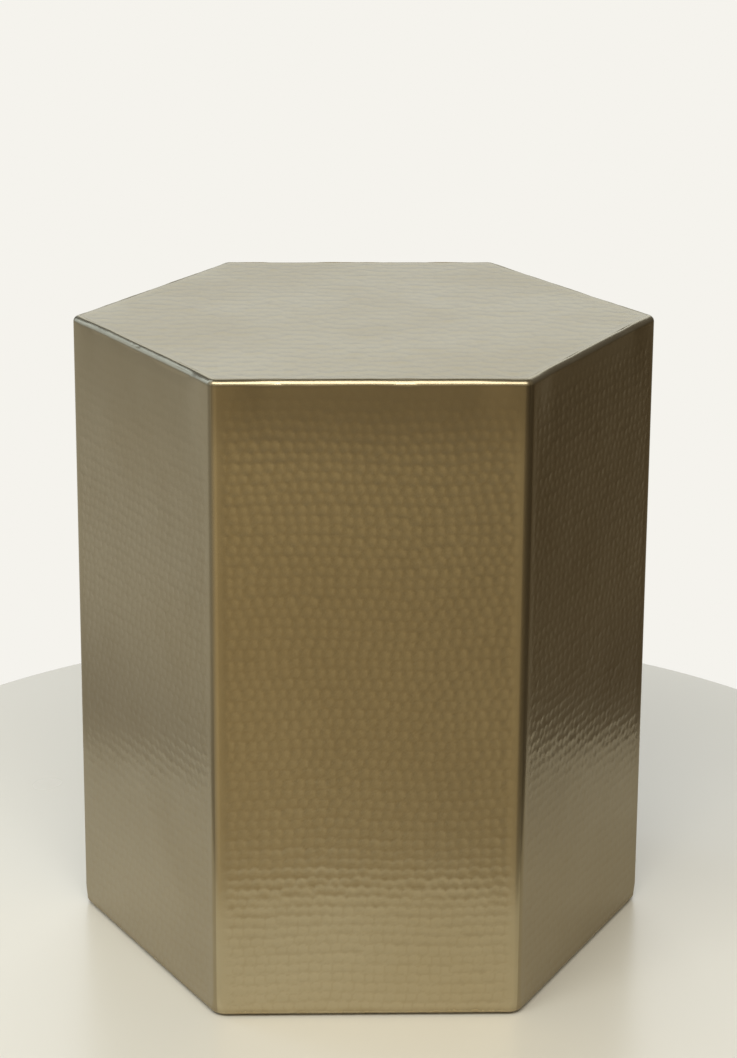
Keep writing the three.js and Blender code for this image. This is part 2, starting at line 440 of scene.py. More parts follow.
@dataclass(frozen=True)
class StagePlaster(Finish):
    """The pale matt surface that the table stands on."""

    name: str = "stage_plaster"
    pale: Colour = (0.785, 0.768, 0.695)
    warm: Colour = (0.760, 0.738, 0.650)

    def fill(self, tree: ShaderTree, place: Value) -> None:
        """Clouds the plaster faintly, and gives it a fine tooth.

        Args:
            tree: The material's tree.
            place: Where its patterns are read.
        """
        clouds = tree.noise(place, 3.0, 2)
        tooth = tree.noise(place, 900.0, 2)
        close_surface(tree, {"Base Color": tree.mix(clouds, self.pale, self.warm),
                             "Roughness": 0.24 + clouds * 0.05, "IOR": 1.75,
                             "Normal": tree.bump(tooth, 0.02 * MM)})


# --- meshes


class Surface:
    """The points and faces of one piece, gathered and then made into a mesh."""

    def __init__(self) -> None:
        """Starts with nothing."""
        self.points: list[Array] = []
        self.corners: list[Array] = []
        self.counts: list[Array] = []
        self.normals: list[Array] = []
        self.size = 0

    def add_points(self, points: Array) -> int:
        """Adds points.

        Args:
            points: One row each.

        Returns:
            The number of the first one.
        """
        self.points.append(np.asarray(points, float).reshape(-1, 3))
        self.size += len(self.points[-1])
        return self.size - len(self.points[-1])

    def add_faces(self, faces: Array, normals: Array | None = None, smooth: bool = True) -> None:
        """Adds faces that all have the same number of corners.

        Args:
            faces: The numbers of the corners, one row to a face.
            normals: One normal to a corner, if they are known.
            smooth: Whether the faces flow into each other.
        """
        faces = np.asarray(faces, int)
        points = np.vstack(self.points)
        if normals is None:
            flat = newell(points[faces])
            if smooth:
                summed = np.zeros_like(points)
                for column in range(faces.shape[1]):
                    np.add.at(summed, faces[:, column], flat)
                normals = unit(summed)[faces]
            else:
                normals = np.repeat(unit(flat)[:, None], faces.shape[1], axis=1)
        self.corners.append(faces.ravel())
        self.counts.append(np.full(len(faces), faces.shape[1]))
        self.normals.append(normals.reshape(-1, 3))

    def mesh(self, name: str, numbers: dict[str, Array] | None = None) -> bpy.types.Mesh:
        """Makes the mesh.

        Args:
            name: The mesh's name.
            numbers: What each point carries, by attribute name.

        Returns:
            The mesh.
        """
        made = bpy.data.meshes.new(name)
        points = np.vstack(self.points)
        corners = np.concatenate(self.corners)
        counts = np.concatenate(self.counts)
        made.vertices.add(len(points))
        made.vertices.foreach_set("co", points.astype(np.float32).ravel())
        made.loops.add(len(corners))
        made.loops.foreach_set("vertex_index", corners.astype(np.int32))
        made.polygons.add(len(counts))
        made.polygons.foreach_set("loop_start", (np.cumsum(counts) - counts).astype(np.int32))
        made.update(calc_edges=True)
        made.normals_split_custom_set(np.vstack(self.normals).tolist())
        for attribute, values in (numbers or {}).items():
            layer = made.attributes.new(attribute, "FLOAT", "POINT")
            layer.data.foreach_set("value", np.asarray(values, np.float32).ravel())
        return made


def quads(grid: Array) -> Array:
    """The four corners of each cell of a grid, in turn, on a new third axis."""
    return np.stack([grid[:-1, :-1], grid[1:, :-1], grid[1:, 1:], grid[:-1, 1:]], axis=2)


def newell(polygons: Array) -> Array:
    """The area normal of each polygon, from corners shaped (faces, corners, 3)."""
    return np.cross(polygons, np.roll(polygons, -1, axis=1)).sum(axis=1) / 2


def unit(vectors: Array) -> Array:
    """The same directions at length 1."""
    return vectors / np.maximum(np.linalg.norm(vectors, axis=-1, keepdims=True), 1e-12)


def smooth_step(value: Array, low: float, high: float) -> Array:
    """Rises smoothly from 0 at low to 1 at high."""
    share = np.clip((value - low) / (high - low), 0, 1)
    return share * share * (3 - 2 * share)


def turned(points: Array, angle: float) -> Array:
    """Points, with x, y, z on the last axis, turned about +Z by an angle in radians."""
    c, s = math.cos(angle), math.sin(angle)
    return points @ np.array([[c, s, 0], [-s, c, 0], [0, 0, 1]])


def lathe_surface(profile: Sequence[tuple[float, float]], sides: int) -> Surface:
    """A round piece about the Z axis, from the axis round to the axis.

    Args:
        profile: Radius and height of each ring; the first and last are on the axis.
        sides: How many facets go round.

    Returns:
        The surface.
    """
    surface = Surface()
    first = surface.add_points(np.array([[0, 0, profile[0][1]]]))
    angles = np.arange(sides) * 2 * math.pi / sides
    rings = []
    for radius, height in profile[1:-1]:
        ring = np.stack([radius * np.cos(angles), radius * np.sin(angles),
                         np.full(sides, height)], axis=1)
        rings.append(surface.add_points(ring) + np.arange(sides))
    last = surface.add_points(np.array([[0, 0, profile[-1][1]]]))
    after = [np.roll(ring, -1) for ring in rings]
    surface.add_faces(np.stack([np.full(sides, first), after[0], rings[0]], axis=1), smooth=False)
    for low, low_next, high, high_next in zip(rings, after, rings[1:], after[1:]):
        surface.add_faces(np.stack([low, low_next, high_next, high], axis=1))
    surface.add_faces(np.stack([np.full(sides, last), rings[-1], after[-1]], axis=1), smooth=False)
    return surface


def arc(x: float, z: float, radius: float, start: float, end: float,
        steps: int) -> list[tuple[float, float]]:
    """Points on an arc round (x, z), from start to end in degrees, both ends included."""
    angles = np.radians(np.linspace(start, end, steps + 1))
    return [(x + radius * math.cos(a), z + radius * math.sin(a)) for a in angles]


def show(name: str, mesh: bpy.types.Mesh, material: bpy.types.Material,
         matrix: Matrix | None = None) -> bpy.types.Object:
    """Puts a mesh in the scene.

    Args:
        name: The piece's name.
        mesh: Its mesh.
        material: Its finish.
        matrix: Where it goes, if not at the origin.

    Returns:
        The object.
    """
    piece = bpy.data.objects.new(name, mesh)
    bpy.context.scene.collection.objects.link(piece)
    if not mesh.materials:
        mesh.materials.append(material)
    if matrix is not None:
        piece.matrix_world = matrix
    return piece


def fit(piece: bpy.types.Object, slot: Slot, *nodes: str) -> None:
    """Rides a piece on the table and says what it stands for.

    Args:
        piece: The piece.
        slot: The record's slot that its finish belongs to; not used.
        nodes: The CAD nodes that it replaces.
    """
    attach(piece, ROOT)
    if nodes:
        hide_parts(*nodes)
    LOG.info("%s: %d faces, for %s", piece.name, len(piece.data.polygons), nodes or "no node")


# --- the brass


@dataclass(frozen=True)
class Hammering:
    """Rows of overlapping marks left by the crowned face of a planishing hammer."""

    column: float = 7.5 * MM
    row: float = 7.2 * MM
    crown: float = 66 * MM
    arch: float = 1.9
    stray: float = 0.5 * MM
    rise: float = 0.7 * MM
    crease: float = 0.08 * MM
    sway: float = 1.4 * MM
    sway_length: float = 150 * MM
    drift: float = 3.2 * MM
    unevenness: float = 0.014 * MM
    reach: int = 2
    row_drift: float = 0.35
    sway_spread: tuple[float, float] = (0.5, 1.2)

    def strikes(self, along: Array, up: Array, seed: int) -> tuple[Array, Array]:
        """The depth of the marks, and the creases where they meet.

        Args:
            along: Place along the rows.
            up: Place across the rows.
            seed: Seeds the strokes that strayed.

        Returns:
            The height above the bottom of an average mark, and how near a crease is, up to 1.
        """
        rng = np.random.default_rng(seed)
        pad = self.reach + 2
        rows = int((up.max() - up.min()) / self.row) + 2 * pad + 2
        columns = int((along.max() - along.min()) / self.column) + 2 * pad + 6
        start_row = up.min() - pad * self.row
        start_column = along.min() - (pad + 2) * self.column
        shift = np.cumsum(rng.uniform(-self.drift, self.drift, rows))
        shift -= np.round(shift / self.column) * self.column
        phase = np.cumsum(rng.normal(0, self.row_drift, rows))
        sway = self.sway * rng.uniform(*self.sway_spread, rows)
        i, j = np.meshgrid(np.arange(columns), np.arange(rows))
        centre_x = start_column + i * self.column + shift[j] + rng.normal(0, self.stray, i.shape)
        centre_y = start_row + j * self.row + rng.normal(0, self.rise, i.shape)
        turns = 2 * math.pi * centre_x / self.sway_length + phase[j]
        centre_y += sway[j] * np.cos(turns)
        lift = rng.normal(0, self.unevenness, i.shape)
        row = np.round((up - start_row) / self.row).astype(int)
        found, second = np.full(along.shape, np.inf), np.full(along.shape, np.inf)
        for step in range(-self.reach, self.reach + 1):
            r = np.clip(row + step, 0, rows - 1)
            near = np.round((along - start_column - shift[r]) / self.column).astype(int)
            for across in range(-self.reach, self.reach + 1):
                c = np.clip(near + across, 0, columns - 1)
                mark = self.dish(along - centre_x[r, c], up - centre_y[r, c]) + lift[r, c]
                second = np.minimum(second, np.maximum(found, mark))
                found = np.minimum(found, mark)
        return found, 1 - smooth_step(second - found, 0, self.crease)

    def dish(self, right: Array | float, above: Array | float) -> Array | float:
        """A mark's height this far right of and above its middle; its head is narrower, an arch."""
        narrowing = 1 + self.arch * np.clip(above / self.row, -0.5, 0.5)
        return (right ** 2 * narrowing + above ** 2) / (2 * self.crown)

    @property
    def ridge(self) -> float:
        """The height at which the corners of average marks meet."""
        return float(self.dish(self.column / 2, 0) + self.dish(0, self.row / 2))


@dataclass(frozen=True)
class Waves:
    """The slow waves that hammering leaves in thin sheet."""

    height: float = 0.045 * MM
    shortest: float = 45 * MM
    longest: float = 170 * MM
    count: int = 9
    growth: float = 0.8

    def relief(self, x: Array, y: Array, seed: int) -> Array:
        """The waves' height.

        Args:
            x: Place along one way.
            y: Place along the other.
            seed: Seeds the waves.

        Returns:
            The height, about 0 in the middle.
        """
        rng = np.random.default_rng(seed)
        total = np.zeros_like(x)
        for length in np.geomspace(self.shortest, self.longest, self.count):
            angle, phase = rng.uniform(0, math.pi), rng.uniform(0, 2 * math.pi)
            along = x * math.cos(angle) + y * math.sin(angle)
            size = self.height * (length / self.longest) ** self.growth
            total += size * np.cos(2 * math.pi * along / length + phase)
        return total


@dataclass(frozen=True)
class DrumSizes:
    """The sheet's sizes, read from the frame."""

    flat: float
    height: float
    foot: float
    bend: float
    thickness: float

    @property
    def half(self) -> float:
        """Half the width of a side's flat stretch, between its bends."""
        return (self.flat - self.bend) * math.tan(HALF_CORNER)

    @classmethod
    def read(cls) -> "DrumSizes":
        """Works the sizes out from the boxes of the brass nodes.

        Returns:
            The sizes.
        """
        low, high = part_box("side_sheet")
        top_low, top_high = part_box("top_sheet")
        slope = 1 / math.cos(HALF_CORNER)
        bend = (high.y * slope - high.x) / (slope - 1)
        return cls(flat=high.y, height=high.z, foot=low.z, bend=bend,
                   thickness=top_high.z - top_low.z)


@dataclass
class SideSheet:
    """The brass wrapped round the six sides, rolled in at the top and turned under at the foot."""

    sizes: DrumSizes
    hammering: Hammering = Hammering()
    waves: Waves = Waves()
    mark_seed: int = 11
    wave_seed: int = 31
    edge_seed: int = 51
    step: float = 1.2 * MM
    bend_steps: int = 9
    hem_steps: int = 8
    roll_steps: int = 14
    top_roll: float = 4.5 * MM
    top_lip: float = 0.3 * MM
    foot_roll: float = 3 * MM
    foot_lip: float = 12 * MM
    seam: float = 0.35 * MM
    smallest_bend: float = 1 * MM
    tight_bend: float = 7.5 * MM
    bend_opening: float = 14 * MM
    bend_fade: float = 3 * MM
    foot_fade: float = 11 * MM
    top_fade: float = 62 * MM
    left_fade: float = 150 * MM
    front_fade: float = 48 * MM
    right_fade: float = 22 * MM
    faintest: float = 0.15
    shoulder_drop: float = 0.6
    edge_wobble: float = 0.10 * MM
    edge_start: float = 1.3
    wobble_lengths: tuple[float, ...] = (11 * MM, 17 * MM, 29 * MM, 47 * MM, 83 * MM)
    wobble_tilt: float = 0.4
    wobble_phase: float = 6.3
    dent_along: float = -4 * MM
    dent_drop: float = 0.6
    dent_depth: float = 0.55 * MM
    dent_width: float = 1.5 * MM
    lean: float = 1.1 * MM
    lean_height: float = 66 * MM
    lean_past: float = 20 * MM
    ease: float = 0.4 * MM
    ease_height: float = 10 * MM
    wear_span: tuple[float, float] = (1.1, 0.2)
    # Painted shade: a darker band just under the front's top edge, and darker lower parts on the
    # other five sides.
    edge_painted_shade: float = 0.48
    edge_shade_span: tuple[float, float] = (0.86, 0.97)
    lower_painted_shade: float = 0.52
    lower_shade_span: tuple[float, float] = (0.35, 0.62)
    # Darker towards the foot.
    foot_darkening: float = 0.8
    foot_darkening_height: float = 7 * MM
    hem_fade: float = 4 * MM

    @property
    def shoulder(self) -> float:
        """The height on the top roll where the marks are faintest and the edge wobbles in full."""
        return self.sizes.height - self.shoulder_drop * self.top_roll

    def outer_levels(self) -> tuple[Array, Array]:
        """The outside of the sheet's section, from the hem under the foot to the lip on top.

        Returns:
            Each level's inset from the side's plane and height, and its normal, out and up.
        """
        size = self.sizes
        lip = self.top_roll + self.top_lip
        hem = np.linspace(self.foot_roll + self.foot_lip, self.foot_roll, self.hem_steps + 1)[:-1]
        points = [(inset, size.foot, 0.0, -1.0) for inset in hem]
        for angle in np.radians(np.linspace(-90, 0, self.hem_steps + 1)):
            out, up = math.cos(angle), math.sin(angle)
            points.append((self.foot_roll * (1 - out), size.foot + self.foot_roll * (1 + up),
                           out, up))
        low, high = size.foot + self.foot_roll, size.height - self.top_roll
        wall = np.linspace(low, high, round((high - low) / self.step) + 1)[1:-1]
        points += [(0.0, z, 1.0, 0.0) for z in wall]
        for angle in np.radians(np.linspace(0, 90, self.roll_steps + 1)):
            out, up = math.cos(angle), math.sin(angle)
            points.append((self.top_roll * (1 - out), size.height - self.top_roll * (1 - up),
                           out, up))
        points += [(inset, size.height, 0.0, 1.0)
                   for inset in np.linspace(self.top_roll, lip, 3)[1:]]
        table = np.array(points)
        return table[:, :2], table[:, 2:]

    def inner_levels(self) -> Array:
        """The inside of the section, from the lip on top down to the hem under the foot.

        Returns:
            Each level's inset and height.
        """
        size = self.sizes
        lip = self.top_roll + self.top_lip
        points = [(lip, size.height - size.thickness)]
        roll = self.top_roll - size.thickness
        points += [(self.top_roll - x, size.height - self.top_roll + z)
                   for x, z in arc(0, 0, roll, 90, 0, 5)]
        roll = self.foot_roll - size.thickness
        points += [(self.foot_roll - x, size.foot + self.foot_roll + z)
                   for x, z in arc(0, 0, roll, 0, -90, 3)]
        points.append((self.foot_roll + self.foot_lip, size.foot + size.thickness))
        return np.array(points)

    def stations(self, start: float, end: float) -> tuple[Array, Array]:
        """Places round one side.

        Args:
            start: -1 to begin in the middle of the left bend, or the share of the flat.
            end: 1 to end in the middle of the right bend, or the share of the flat.

        Returns:
            Each station's share of the flat, from -1 to 1, and its turn into a bend.
        """
        half = self.sizes.half
        count = max(2, round((end - start) * half / self.step))
        share = np.linspace(start, end, count + 1)
        turn = np.zeros(count + 1)
        bend = np.linspace(0, HALF_CORNER, self.bend_steps + 1)[1:]
        bend = np.append(bend, 2 * bend[-1] - bend[-2])
        if start == -1:
            share = np.concatenate([-np.ones(len(bend)), share])
            turn = np.concatenate([-bend[::-1], turn])
        if end == 1:
            share = np.concatenate([share, np.ones(len(bend))])
            turn = np.concatenate([turn, bend])
        return share, turn

    def ring_points(self, levels: Array, share: Array, turn: Array) -> tuple[Array, Array]:
        """Where the section's levels lie at each station, on the side that faces -Y.

        Args:
            levels: Each level's inset and height.
            share: Each station's share of the flat.
            turn: Each station's turn into a bend.

        Returns:
            The points, and each one's distance along the side from its middle.
        """
        inset, height = levels[:, 0], levels[:, 1]
        size = self.sizes
        closed = smooth_step(height, size.foot, size.foot + self.bend_opening)
        radius = size.bend - (size.bend - self.tight_bend) * closed - inset
        radius = np.maximum(radius, self.smallest_bend)
        reach = size.flat - inset - radius
        half = reach * math.tan(HALF_CORNER)
        x = half * share[:, None] + radius * np.sin(turn)[:, None]
        y = -reach - radius * np.cos(turn)[:, None]
        z = np.broadcast_to(height, x.shape)
        along = half * share[:, None] + radius * turn[:, None]
        return np.stack([x, y, z], axis=-1), along

    def struck(self, along: Array, levels: Array, side: Side) -> Array:
        """How fully the hammer has struck each place: less at the top and not on the bends.

        Args:
            along: Distance along the side from its middle.
            levels: Each level's inset and height.
            side: The side.

        Returns:
            From 0 for smooth sheet to 1 for full marks.
        """
        size = self.sizes
        half = size.half
        up = np.broadcast_to(levels[:, 1] - levels[:, 0], along.shape)
        off_bend = 1 - smooth_step(np.abs(along), half - self.bend_fade, half + self.bend_fade)
        fades = {Side.FRONT: self.front_fade, Side.FRONT_LEFT: self.left_fade,
                 Side.FRONT_RIGHT: self.right_fade}
        fade = fades.get(side, self.top_fade)
        below_top = 1 - smooth_step(up, size.height - self.top_roll - fade, self.shoulder)
        return off_bend * (self.faintest + (1 - self.faintest) * below_top)

    def relief(self, along: Array, levels: Array, side: Side) -> tuple[Array, Array]:
        """The hammer marks and waves of one side.

        Args:
            along: Distance along the side from its middle.
            levels: Each level's inset and height.
            side: The side.

        Returns:
            How far each point stands out from the smooth sheet, and how near a crease is.
        """
        size = self.sizes
        half = size.half
        up = np.broadcast_to(levels[:, 1] - levels[:, 0], along.shape)
        marks, creases = self.hammering.strikes(along, up, self.mark_seed + side.value)
        slow = self.waves.relief(along, up, self.wave_seed + side.value)
        quiet = 1 - smooth_step(np.abs(along), half - 10 * self.bend_fade, half)
        above_foot = smooth_step(levels[:, 1], size.foot, size.foot + self.foot_fade)
        drawn_in = self.lean * smooth_step(up, size.height - self.lean_height,
                                           size.height + self.lean_past)
        if side is Side.FRONT_LEFT:
            below_roll = size.height - self.top_roll
            drawn_in = drawn_in + self.ease * smooth_step(up, below_roll - self.ease_height,
                                                          below_roll + self.ease_height)
        upright = (1 - smooth_step(levels[:, 0], 0, self.top_roll)) * (up > size.bend)
        slow = slow * above_foot - drawn_in * upright
        struck = self.struck(along, levels, side)
        return (marks - self.hammering.ridge) * struck + slow * quiet, creases * struck

    def edge_relief(self, along: Array, levels: Array, side: Side) -> Array:
        """The unevenness of the rolled top edge, and its one small dent.

        Args:
            along: Distance along the side from its middle.
            levels: Each level's inset and height.
            side: The side.

        Returns:
            How far each point stands out from the smooth roll.
        """
        rng = np.random.default_rng(self.edge_seed + side.value)
        on_roll = smooth_step(levels[:, 1], self.sizes.height - self.edge_start * self.top_roll,
                              self.shoulder)
        half = self.sizes.half
        fade = 1 - smooth_step(np.abs(along), half - 2 * self.bend_fade, half)
        total = np.zeros_like(along)
        for length in self.wobble_lengths:
            tilt = rng.uniform(-self.wobble_tilt, self.wobble_tilt)
            wave = 2 * math.pi * (along + tilt * levels[:, 1]) / length
            total += (np.cos(wave + rng.uniform(0, self.wobble_phase)) * length
                      / self.wobble_lengths[-1])
        relief = self.edge_wobble * total * on_roll * fade
        if side is Side.FRONT_LEFT:
            dent_up = self.sizes.height - self.dent_drop * self.top_roll
            square = (along - self.dent_along) ** 2 + (levels[:, 1] - dent_up) ** 2
            relief = relief - self.dent_depth * np.exp(-square / (2 * self.dent_width ** 2))
        return relief

    def panel(self, side: Side, start: float, end: float) -> bpy.types.Mesh:
        """One side's stretch of the sheet, a closed mesh from inside to outside.

        Args:
            side: The side.
            start: Where it begins, as stations() takes it.
            end: Where it ends.

        Returns:
            The mesh.
        """
        share, turn = self.stations(start, end)
        levels, facing = self.outer_levels()
        points, along = self.ring_points(levels, share, turn)
        ways = np.stack([facing[:, 0] * np.sin(turn)[:, None],
                         -facing[:, 0] * np.cos(turn)[:, None],
                         np.broadcast_to(facing[:, 1], along.shape)], axis=-1)
        relief, creases = self.relief(along, levels, side)
        relief = relief + self.edge_relief(along, levels, side)
        on_hem = smooth_step(levels[:, 0], self.foot_roll, self.foot_roll + self.hem_fade)
        relief = relief * np.where(facing[:, 1] < -0.5, 1 - on_hem, 1.0)
        outside = points + ways * relief[..., None]
        normals = unit(np.cross(np.gradient(outside, axis=0), np.gradient(outside, axis=1)))
        inside, _ = self.ring_points(self.inner_levels(), share, turn)
        keep = slice(1 if start == -1 else 0, len(share) - 1 if end == 1 else len(share))
        outside, normals, inside = outside[keep], normals[keep], inside[keep]
        surface = Surface()
        stations, deep = outside.shape[0], outside.shape[1]
        loop = deep + inside.shape[1]
        grid = surface.add_points(turned(np.concatenate([outside, inside], axis=1), side.turn))
        numbers = grid + np.arange(stations * loop).reshape(stations, loop)
        across, corner_normals = quads(numbers), quads(turned(normals, side.turn))
        surface.add_faces(across[:, :deep - 1].reshape(-1, 4), corner_normals.reshape(-1, 3))
        surface.add_faces(across[:, deep:].reshape(-1, 4))
        for edge in ([deep - 1, deep], [loop - 1, 0]):
            surface.add_faces(quads(numbers[:, edge])[:, 0], smooth=False)
        surface.add_faces(numbers[0][None], smooth=False)
        surface.add_faces(numbers[-1][::-1][None], smooth=False)
        carried = self.carried(side, creases[keep], levels, inside.shape[1])
        return surface.mesh(f"brass_{side.label}", carried)

    def carried(self, side: Side, creases: Array, levels: Array,
                inner: int) -> dict[str, Array]:
        """What each point of a panel carries for its finish.

        Args:
            side: The side.
            creases: How near to a crease each point of it is.
            levels: The outside's levels.
            inner: How many inside levels there are.

        Returns:
            The crease mask, wear, darkening towards the foot and painted shade of each point.
        """
        height = np.broadcast_to(levels[:, 1], creases.shape)
        top = self.sizes.height
        low, high = self.wear_span
        wear = smooth_step(height, top - low * self.top_roll, top - high * self.top_roll)
        foot = self.sizes.foot
        # Darker towards the foot.
        edge_darkening = self.foot_darkening * (1 - smooth_step(height, foot, foot + self.foot_darkening_height))
        # Painted shade: just under the front's top edge, and over the lower part of the other five
        # sides.
        if side is Side.FRONT:
            low, high = self.edge_shade_span
            tarnish_and_painted_shade = self.edge_painted_shade * smooth_step(height, low * top, high * top)
        else:
            low, high = self.lower_shade_span
            tarnish_and_painted_shade = self.lower_painted_shade * (1 - smooth_step(height, low * top, high * top))
        blank = np.zeros((len(creases), inner))
        pad = {"crease": creases, "wear": wear, "edge_darkening": edge_darkening, "tarnish_and_painted_shade": tarnish_and_painted_shade}
        return {name: np.concatenate([values, blank], axis=1) for name, values in pad.items()}

    def build(self, finish: bpy.types.Material) -> None:
        """Makes the sheet: one stretch to a side, and two on the back, where its ends meet.

        Args:
            finish: The brass.
        """
        half = self.sizes.half
        slit = self.seam / 2 / half
        for side in Side:
            if side is Side.BACK:
                stretches = {"brass_back_seam_right": (-1, -slit),
                             "brass_back_seam_left": (slit, 1)}
            else:
                stretches = {f"brass_{side.label}": (-1, 1)}
            for name, (start, end) in stretches.items():
                fit(show(name, self.panel(side, start, end), finish), Slot.BRASS, "side_sheet")


@dataclass
class TopSheet:
    """The hammered sheet let in flush inside the rolled edge."""

    sizes: DrumSizes
    hammering: Hammering = Hammering(column=8.6 * MM, row=12 * MM, crown=58 * MM, stray=2 * MM,
                                     rise=2.4 * MM, arch=0.5, sway=2.4 * MM,
                                     sway_length=64 * MM, unevenness=0.026 * MM)
    waves: Waves = Waves(height=0.012 * MM)
    mark_seed: int = 71
    wave_seed: int = 73
    rings: int = 150
    inset: float = 4.85 * MM
    corner: float = 2.2 * MM
    border: float = 1 * MM
    border_fade: float = 7 * MM
    wave_fade: float = 3.0
    fall_reach: float = 1.4
    border_fall: float = 0.03 * MM
    corner_sharpness: int = 24
    faintest: float = 0.1
    crease_share: float = 0.5
    wear: float = 0.7
    wear_width: float = 6 * MM
    edge_darkening: float = 0.5
    grime_width: float = 0.8 * MM

    def outline(self, angle: Array, flat: float, radius: float) -> Array:
        """How far the round-cornered hexagon reaches.

        Args:
            angle: The direction, from +X.
            flat: From the middle to a side.
            radius: The corners' radius.

        Returns:
            The reach in each direction.
        """
        off = np.mod(angle + HALF_CORNER, SIXTH) - HALF_CORNER
        centre = (flat - radius) / math.cos(HALF_CORNER)
        side = flat / np.cos(HALF_CORNER - np.abs(off))
        inside = np.maximum(radius ** 2 - (centre * np.sin(off)) ** 2, 0)
        corner = centre * np.cos(off) + np.sqrt(inside)
        return np.where(inside > 0, np.minimum(side, np.maximum(corner, 0)), side)

    def lattice(self) -> tuple[Array, Array]:
        """A hexagon of even triangles, ring by ring.

        Returns:
            The points in units of the corner's reach, and the triangles.
        """
        points, faces = [np.zeros((1, 2))], []
        tips = np.array([[math.cos(k * SIXTH), math.sin(k * SIXTH)] for k in range(6)])
        for ring in range(1, self.rings + 1):
            share = np.arange(ring) / ring
            for k in range(6):
                line = tips[k] + share[:, None] * (tips[(k + 1) % 6] - tips[k])
                points.append(line * ring / self.rings)
        for ring in range(self.rings):
            inner = 1 + 3 * ring * (ring - 1) if ring else 0
            outer = 1 + 3 * ring * (ring + 1)
            for k in range(6):
                j = np.arange(ring + 1)
                low = inner + (k * ring + j) % max(6 * ring, 1)
                a = outer + (k * (ring + 1) + j) % (6 * (ring + 1))
                b = outer + (k * (ring + 1) + j + 1) % (6 * (ring + 1))
                faces.append(np.stack([low, a, b], axis=1))
                faces.append(np.stack([low[:-1], b[:-1], low[1:]], axis=1))
        return np.vstack(points), np.vstack(faces)

    def build(self, finish: bpy.types.Material) -> None:
        """Makes the top.

        Args:
            finish: The brass.
        """
        flat = self.sizes.flat - self.inset
        grid, faces = self.lattice()
        angle = np.arctan2(grid[:, 1], grid[:, 0])
        sharp = self.outline(angle, 1.0, 0.0)
        reach = np.linalg.norm(grid, axis=1) / (sharp * math.cos(HALF_CORNER))
        rounded = self.outline(angle, flat, self.corner) / (sharp * flat)
        rounding = (rounded - 1) * np.clip(reach, 0, 1) ** self.corner_sharpness
        scale = flat / math.cos(HALF_CORNER) * (1 + rounding)
        plan = grid * scale[:, None]
        inset = (1 - np.clip(reach, 0, 1)) * flat
        marks, creases = self.hammering.strikes(plan[:, 0], plan[:, 1], self.mark_seed)
        fade = smooth_step(inset, self.border, self.border_fade)
        slow = self.waves.relief(plan[:, 0], plan[:, 1], self.wave_seed)
        relief = (marks - self.hammering.ridge) * (self.faintest + (1 - self.faintest) * fade)
        relief = relief + slow * smooth_step(inset, 0, self.wave_fade * self.border_fade)
        fall = 1 - smooth_step(inset, 0, self.fall_reach * self.border_fade)
        relief = relief - self.border_fall * fall
        surface = Surface()
        top = np.column_stack([plan, self.sizes.height + relief])
        surface.add_points(top)
        surface.add_faces(faces)
        rim = np.arange(len(top) - 6 * self.rings, len(top))
        under = top[rim] * (1, 1, 0) + (0, 0, self.sizes.height - self.sizes.thickness)
        below = surface.add_points(under) + np.arange(len(rim))
        strip = np.stack([rim, below, np.roll(below, -1), np.roll(rim, -1)], axis=1)
        surface.add_faces(strip, smooth=False)
        surface.add_faces(below[::-1][None], smooth=False)
        blank = np.zeros(len(rim))
        # Painted shade along the creases, weaker than on the sides; darker along the rim.
        carried = {"crease": creases * fade * self.crease_share,
                   "wear": self.wear * (1 - smooth_step(inset, 0, self.wear_width)),
                   "edge_darkening": self.edge_darkening * (1 - smooth_step(inset, 0, self.grime_width))}
        carried = {name: np.append(values, blank) for name, values in carried.items()}
        fit(show("brass_top", surface.mesh("brass_top", carried), finish), Slot.BRASS, "top_sheet")


